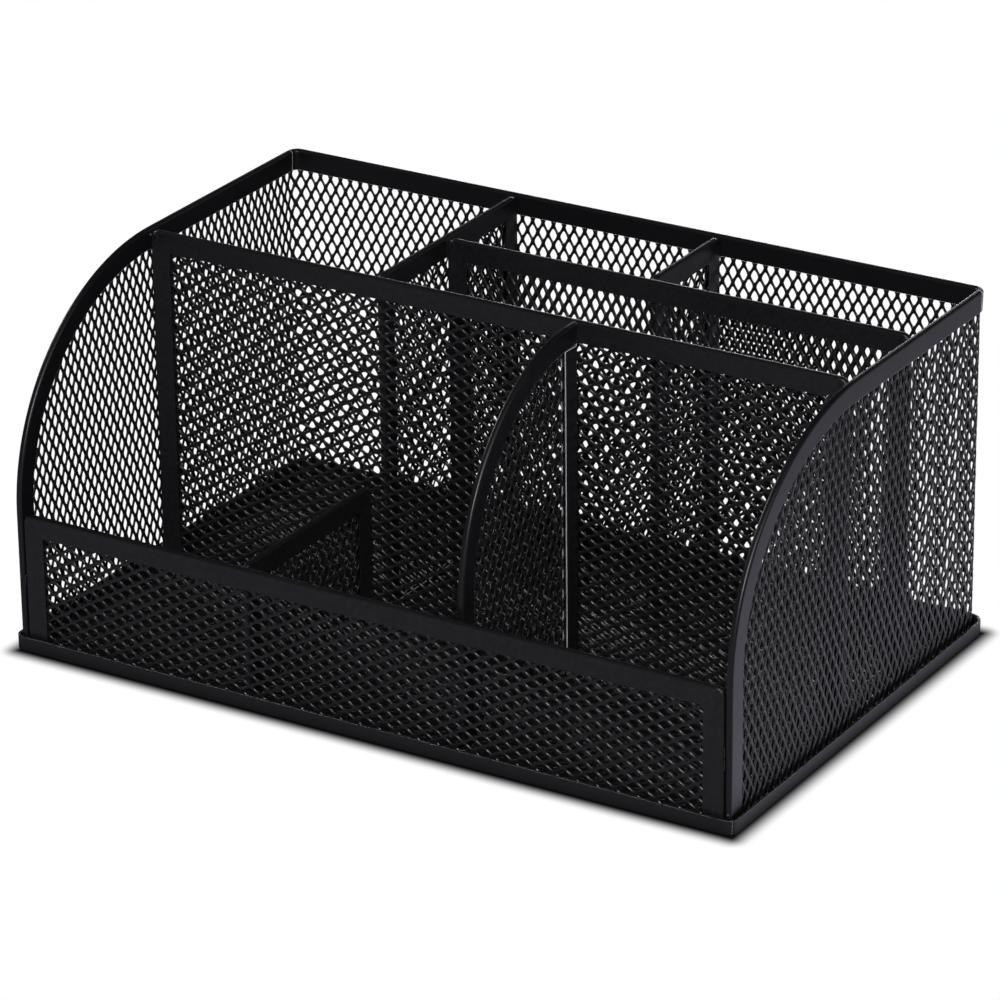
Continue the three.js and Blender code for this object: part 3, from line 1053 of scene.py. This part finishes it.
class ORGANIZER_OT_wall_rims(bpy.types.Operator):
    """Makes the folded strips along the tops of the sides and the back"""

    bl_idname = "organizer.wall_rims"
    bl_label = "Side and Back Rims"

    def execute(self, context):
        strip = context.scene.organizer_strip
        radius = context.scene.organizer_mesh.corner_radius
        back, side = back_wall_middle()
        curve_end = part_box("mid_wall_top_strip")[1].y
        seam_gap = 0.04 * MM
        for name in ("left", "right"):
            low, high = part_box(f"{name}_side_rim")
            points = [Vector((low.y, low.z))]
            points += quarter_ellipse(low.y, curve_end, springing(), high.z)
            points += [Vector((back - radius - seam_gap, high.z))]
            mesh = channel(points, strip_leg(), half_panel())
            matrix = placing(FRONT_TO_BACK, low, high)
            finish_strip(f"{name}_side_rim_folded", mesh, matrix, [], STRIP_SLOT, f"{name}_side_rim")

        low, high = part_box("back_rim")
        points = arc((-side + radius, back - radius), radius, math.pi, math.pi / 2)
        points += arc((side - radius, back - radius), radius, math.pi / 2, 0)
        half = half_panel() - strip.sheet / 2
        fold = high.z - strip.sheet / 2
        free = high.z - strip_leg()
        section = [(-half + strip.pinch, free), (-half, fold), (half, fold), (half - strip.pinch, free)]
        mesh = bent_strip(points, section, half * strip.fold_share, strip.sheet, strip_coat())
        finish_strip("back_rim_folded", mesh, Matrix(), [], STRIP_SLOT, "back_rim")
        return {"FINISHED"}


class ORGANIZER_OT_framed_strips(bpy.types.Operator):
    """Makes the three mitred strips round each framed panel, and the rear divider's bottom strip"""

    bl_idname = "organizer.framed_strips"
    bl_label = "Panel Strips"

    def execute(self, context):
        sizes = context.scene.organizer_strip
        for name, (turn, start_name, end_name) in FRAMED_PANELS.items():
            nodes = {part: f"{name}_{part}_strip" for part in (start_name, end_name, "top")}
            low, high = span(*nodes.values())
            start, end = along(turn, low, high)
            top, bottom = high.z, low.z
            radius = sizes.corner_radius
            points = [Vector((start, bottom))]
            points += arc((start + radius, top - radius), radius, math.pi, math.pi / 2)
            points += arc((end - radius, top - radius), radius, math.pi / 2, 0)
            points += [Vector((end, bottom))]
            matrix = placing(turn, low, high)
            gap = sizes.mitre_gap / 2 * math.sqrt(2)
            middle = ((start + end) / 2, 0)
            runs = {
                "top": [((start + gap, top), (1, 1)), ((end - gap, top), (-1, 1))],
                start_name: [(middle, (-1, 0)), ((start - gap, top), (-1, -1))],
                end_name: [(middle, (1, 0)), ((end + gap, top), (1, -1))],
            }
            for part, cuts in runs.items():
                mesh = channel(points, strip_leg(), half_panel())
                piece = f"{name}_{part}_strip_folded"
                finish_strip(piece, mesh, matrix, cuts, STRIP_SLOT, nodes[part])

        low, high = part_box("rear_divider_bottom_strip")
        points = [Vector((high.y, low.z)), Vector((low.y, low.z))]
        mesh = channel(points, high.z - low.z, (high.x - low.x) / 2)
        finish_strip("rear_divider_bottom_strip_folded", mesh, placing(FRONT_TO_BACK, low, high), [],
                     STRIP_SLOT, "rear_divider_bottom_strip")
        return {"FINISHED"}


class ORGANIZER_OT_curved_strips(bpy.types.Operator):
    """Makes the curved divider's rim and the upright strip at its back"""

    bl_idname = "organizer.curved_strips"
    bl_label = "Curved Divider Strips"

    def execute(self, context):
        low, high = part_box("curved_divider_rim")
        curve_end = high.y - context.scene.organizer_strip.corner_radius
        points = [Vector((low.y, low.z))]
        points += quarter_ellipse(low.y, curve_end, springing(), high.z)
        points += [Vector((high.y, high.z))]
        matrix = placing(FRONT_TO_BACK, low, high)
        mesh = channel(points, strip_leg(), half_panel())
        finish_strip("curved_divider_rim_folded", mesh, matrix, [], STRIP_SLOT, "curved_divider_rim")

        low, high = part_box("curved_divider_back_strip")
        points = [Vector((high.y, high.z)), Vector((high.y, low.z))]
        mesh = channel(points, high.y - low.y, (high.x - low.x) / 2)
        finish_strip("curved_divider_back_strip_folded", mesh, matrix, [], STRIP_SLOT,
                     "curved_divider_back_strip")
        return {"FINISHED"}


class ORGANIZER_OT_base_rims(bpy.types.Operator):
    """Makes the base frame: one angle section bent round the corners, in four mitred runs"""

    bl_idname = "organizer.base_rims"
    bl_label = "Base Frame"

    def execute(self, context):
        sizes = context.scene.organizer_base
        gap = context.scene.organizer_strip.mitre_gap / 2 * math.sqrt(2)
        low, high = span("base_rim_front", "base_rim_right", "base_rim_back", "base_rim_left")
        front_low, front_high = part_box("base_rim_front")
        leg = front_high.y - front_low.y
        near, far = sizes.front_corner, sizes.back_corner
        points = arc((low.x + near, low.y + near), near, 1.5 * math.pi, math.pi)
        points += arc((low.x + far, high.y - far), far, math.pi, math.pi / 2)
        points += arc((high.x - far, high.y - far), far, math.pi / 2, 0)
        points += arc((high.x - near, low.y + near), near, 0, -math.pi / 2)
        half = sizes.sheet / 2
        section = [(half, high.z), (half, half), (leg, half)]
        runs = {
            "front": [((low.x + gap, low.y), (1, -1)), ((high.x - gap, low.y), (-1, -1))],
            "right": [((high.x, low.y + gap), (1, 1)), ((high.x, high.y - gap), (1, -1))],
            "back": [((high.x - gap, high.y), (-1, 1)), ((low.x + gap, high.y), (1, 1))],
            "left": [((low.x, high.y - gap), (-1, -1)), ((low.x, low.y + gap), (-1, 1))],
        }
        for name, cuts in runs.items():
            mesh = bent_strip(points, section, sizes.fold_radius, sizes.sheet, base_coat(), closed=True)
            node = f"base_rim_{name}"
            finish_strip(f"{node}_folded", mesh, Matrix(), cuts, BASE_SLOT, node)
        return {"FINISHED"}


class ORGANIZER_OT_welds(bpy.types.Operator):
    """Makes the beads and spots of weld that hold the panels together"""

    bl_idname = "organizer.welds"
    bl_label = "Welds"

    def execute(self, context):
        long_bead = (0.30 * MM, 0.35 * MM, 1.5 * MM)
        spot = (0.55 * MM, 0.3 * MM, 0.55 * MM)
        nugget = (0.5 * MM, 0.45 * MM, 0.6 * MM)
        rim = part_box("right_side_rim")[0]
        front_low, front_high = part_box("front_panel_right_strip")
        base_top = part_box("base_rim_front")[1].z
        mid_low, mid_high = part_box("mid_wall_left_strip")
        gap = (front_high.x + rim.x) / 2
        gap_face = front_low.y + 0.2 * MM
        mid_end = mid_low.x - 0.2 * MM
        mid_face = mid_low.y + 0.4 * MM
        beads = [
            ((gap, gap_face, 19 * MM), long_bead),
            ((gap, gap_face, 22.5 * MM), long_bead),
            ((-gap, gap_face, 21 * MM), long_bead),
            ((rim.x + 0.9 * MM, rim.y + 0.1 * MM, base_top + 0.8 * MM), nugget),
            ((mid_end, mid_face, mid_high.z - 0.9 * MM), nugget),
            ((mid_end, mid_high.y - 0.4 * MM, mid_high.z - 6 * MM), nugget),
            ((-mid_low.x + 0.2 * MM, mid_face, mid_high.z - 3 * MM), nugget),
        ]
        # Rows of welds up a divider's end: how far out they sit, and their levels in millimetres.
        out = 0.15 * MM
        rows = [
            ("low_divider_front_strip", 0.75 * MM, (12, 17.5, 23, 30), spot),
            ("rear_divider_back_strip", out, (8, 50, 92), nugget),
            ("rear_divider_front_strip", out, (8, 50, 92), nugget),
            ("small_divider_back_strip", out, (8, 50, 92), nugget),
            ("small_divider_front_strip", out, (8, 50, 92), nugget),
            ("curved_divider_back_strip", out, (10, 50, 90), nugget),
        ]
        for node, reach, levels, size in rows:
            low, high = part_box(node)
            y = low.y - reach if "front" in node else high.y + reach
            beads += [(((low.x + high.x) / 2, y, level * MM), size) for level in levels]
        low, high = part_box("slot_wall_right_strip")
        for level in (12, 50, 88):
            beads.append(((high.x + 0.2 * MM, (low.y + high.y) / 2, level * MM), nugget))

        mesh = bpy.data.meshes.new("weld places")
        mesh.from_pydata([place for place, _ in beads], [], [])
        sizes = mesh.attributes.new("bead_size", "FLOAT_VECTOR", "POINT")
        sizes.data.foreach_set("vector", [value for _, size in beads for value in size])
        carrier = bpy.data.objects.new("weld places", mesh)
        context.scene.collection.objects.link(carrier)
        values = {"Seed": 3, "Material": weld_coat()}
        add_tree(carrier, tree_named("Weld Beads", build_weld_tree), values)
        add_piece("weld_beads", plain_mesh(carrier), STRIP_SLOT)
        return {"FINISHED"}


class ORGANIZER_OT_stage(bpy.types.Operator):
    """Makes the floor, the soft lights and the camera"""

    bl_idname = "organizer.stage"
    bl_label = "Stage"

    def execute(self, context):
        settings = context.scene.organizer_stage
        middle = (CAD_BOX[0] + CAD_BOX[1]) / 2
        self.make_floor(context, settings)
        self.make_world(context, settings)
        self.make_lights(context, settings, middle)
        self.make_camera(context, settings, middle)
        return {"FINISHED"}

    def camera_or_rest(self, tree, seen, felt, output):
        """Shows one shader to the camera and another to reflections and bounced light."""
        path = put(tree, "ShaderNodeLightPath").outputs["Is Camera Ray"]
        mix = made(tree, "ShaderNodeMixShader", {0: path, 1: felt, 2: seen})
        tree.links.new(mix, tree.nodes[output].inputs["Surface"])

    def make_floor(self, context, settings):
        below = 0.05 * MM
        half = settings.floor_size / 2
        around = ((-half, -half), (half, -half), (half, half), (-half, half))
        mesh = bpy.data.meshes.new("floor")
        mesh.from_pydata([(x, y, -below) for x, y in around], [], [(0, 1, 2, 3)])
        floor = bpy.data.objects.new("floor", mesh)
        context.scene.collection.objects.link(floor)
        mesh.materials.append(self.floor_material(settings))

    def floor_material(self, settings):
        """A white floor with a dark patch painted under the organizer, and a made-up glow.

        The camera sees white, and near black under the organizer with a soft border. This is painted
        by position and not cast by a light. Reflections see a dimmer glow that exists only in front
        of the organizer and beside it on the right.
        """
        patch_inset = 1 * MM
        glow_border = 1.7
        dark, white = (0.003, 0.003, 0.003, 1), (1, 1, 1, 1)
        glow_colour = (0.86, 0.84, 1.0, 1)
        low, high = CAD_BOX
        material = bpy.data.materials.new("Pale Floor")
        material.use_nodes = True
        tree = material.node_tree
        tree.nodes.remove(tree.nodes["Principled BSDF"])
        at = parts(tree, put(tree, "ShaderNodeTexCoord").outputs["Object"])
        beyond = [
            maths(tree, "MAXIMUM",
                  minus(tree, maths(tree, "ABSOLUTE", at[axis]), high[axis] - patch_inset), 0.0)
            for axis in (0, 1)
        ]
        away = put(tree, "ShaderNodeVectorMath", {0: vector(tree, *beyond)},
                   operation="LENGTH").outputs["Value"]
        lit = ramp(tree, away, 0.0, settings.shade_reach, smooth=True)
        pale = made(tree, "ShaderNodeEmission", {"Color": blend(tree, lit, dark, white), "Strength": 1.0})
        open_floor = ramp(tree, away, 0.0, settings.shade_reach * glow_border, smooth=True)
        close_by = ramp(tree, at[0], high.x, high.x + settings.glow_reach, settings.side_glow, 0.0)
        in_front = maths(tree, "LESS_THAN", at[1], low.y)
        beside = times(tree, maths(tree, "GREATER_THAN", at[0], high.x), minus(tree, 1.0, in_front))
        glow = plus(tree, times(tree, in_front, settings.floor_glow),
                    times(tree, plus(tree, close_by, settings.floor_glow), beside))
        bounce = made(tree, "ShaderNodeEmission", {
            "Color": glow_colour, "Strength": times(tree, open_floor, glow),
        })
        self.camera_or_rest(tree, pale, bounce, "Material Output")
        return material

    def make_lights(self, context, settings, middle):
        # Name, place from the organizer's middle, size, and share of the key power.
        soft_lights = [
            ("left_light", (-0.95, 0.05, 0.42), (0.2, 0.2), 0.4),
            ("right_light", (1.0, -0.45, 0.75), (0.6, 0.6), 0.4),
            ("front_light", (0.42, -1.0, 0.62), (0.22, 0.22), 1.6),
            ("back_light", (-0.35, 1.25, 0.1), (0.7, 0.3), 0.8),
        ]
        for name, place, size, share in soft_lights:
            data = bpy.data.lights.new(name, "AREA")
            data.shape = "RECTANGLE"
            data.size, data.size_y = size
            data.energy = settings.key_power * share
            light = bpy.data.objects.new(name, data)
            light.location = middle + Vector(place)
            light.rotation_euler = (-Vector(place)).to_track_quat("-Z", "Y").to_euler()
            light.visible_camera = False
            context.scene.collection.objects.link(light)
        context.scene.view_settings.view_transform = "Standard"

    def make_world(self, context, settings):
        """A room that is white to the camera and, to reflections, bright only low down behind."""
        room_colour = (0.92, 0.95, 1.0, 1)
        world = bpy.data.worlds.new("Studio")
        context.scene.world = world
        world.use_nodes = True
        tree = world.node_tree
        seen = tree.nodes["Background"]
        seen.inputs["Color"].default_value = (1, 1, 1, 1)
        towards = parts(tree, put(tree, "ShaderNodeTexCoord").outputs["Generated"])
        low_down = ramp(tree, towards[2], 0.04, 0.25, 1.0, 0.0, smooth=True)
        behind = ramp(tree, towards[1], 0.1, 0.5, smooth=True)
        strength = plus(tree, times(tree, low_down, behind, settings.back_glow), settings.room_light)
        dim = made(tree, "ShaderNodeBackground", {"Color": room_colour, "Strength": strength})
        self.camera_or_rest(tree, seen.outputs[0], dim, "World Output")

    def make_camera(self, context, settings, middle):
        data = bpy.data.cameras.new("camera")
        data.lens = settings.lens
        data.sensor_width = 36.0
        data.clip_start, data.clip_end = 0.05, 20.0
        camera = bpy.data.objects.new("camera", data)
        turn = (
            Matrix.Rotation(settings.azimuth, 4, "Z")
            @ Matrix.Rotation(math.pi / 2 - settings.elevation, 4, "X")
            @ Matrix.Rotation(settings.roll, 4, "Z")
        )
        # The view is centred a little off the middle of the organizer: to the right and down.
        framing = Vector((0.24 * MM, -7.73 * MM, settings.distance))
        camera.matrix_world = Matrix.Translation(middle) @ turn @ Matrix.Translation(framing)
        context.scene.collection.objects.link(camera)
        context.scene.camera = camera


# ---- Panel and registration -----------------------------------------------------------------------

OPERATORS = (
    ORGANIZER_OT_stage,
    ORGANIZER_OT_wrapped_mesh,
    ORGANIZER_OT_panel_mesh,
    ORGANIZER_OT_wall_rims,
    ORGANIZER_OT_framed_strips,
    ORGANIZER_OT_curved_strips,
    ORGANIZER_OT_base_rims,
    ORGANIZER_OT_welds,
)
SETTINGS = {
    "organizer_mesh": MeshSizes,
    "organizer_strip": StripSizes,
    "organizer_base": BaseSizes,
    "organizer_finish": FinishSettings,
    "organizer_stage": StageSettings,
}


class ORGANIZER_PT_finish(bpy.types.Panel):
    """Lists the steps that finish the organizer, and their settings"""

    bl_label = "Desk Organizer"
    bl_idname = "ORGANIZER_PT_finish"
    bl_space_type = "VIEW_3D"
    bl_region_type = "UI"
    bl_category = "Organizer"

    def draw(self, context):
        for name, group in SETTINGS.items():
            box = self.layout.box()
            box.label(text=group.__doc__)
            for setting in group.__annotations__:
                box.prop(getattr(context.scene, name), setting)
        for operator in OPERATORS:
            self.layout.operator(operator.bl_idname)


CLASSES = (*SETTINGS.values(), *OPERATORS, ORGANIZER_PT_finish)


def register():
    for each in CLASSES:
        bpy.utils.register_class(each)
    for name, group in SETTINGS.items():
        setattr(bpy.types.Scene, name, PointerProperty(type=group))


def unregister():
    for name in SETTINGS:
        delattr(bpy.types.Scene, name)
    for each in reversed(CLASSES):
        bpy.utils.unregister_class(each)


def main():
    register()
    for operator in OPERATORS:
        category, step = operator.bl_idname.split(".")
        getattr(getattr(bpy.ops, category), step)()


if __name__ == "__main__":
    main()
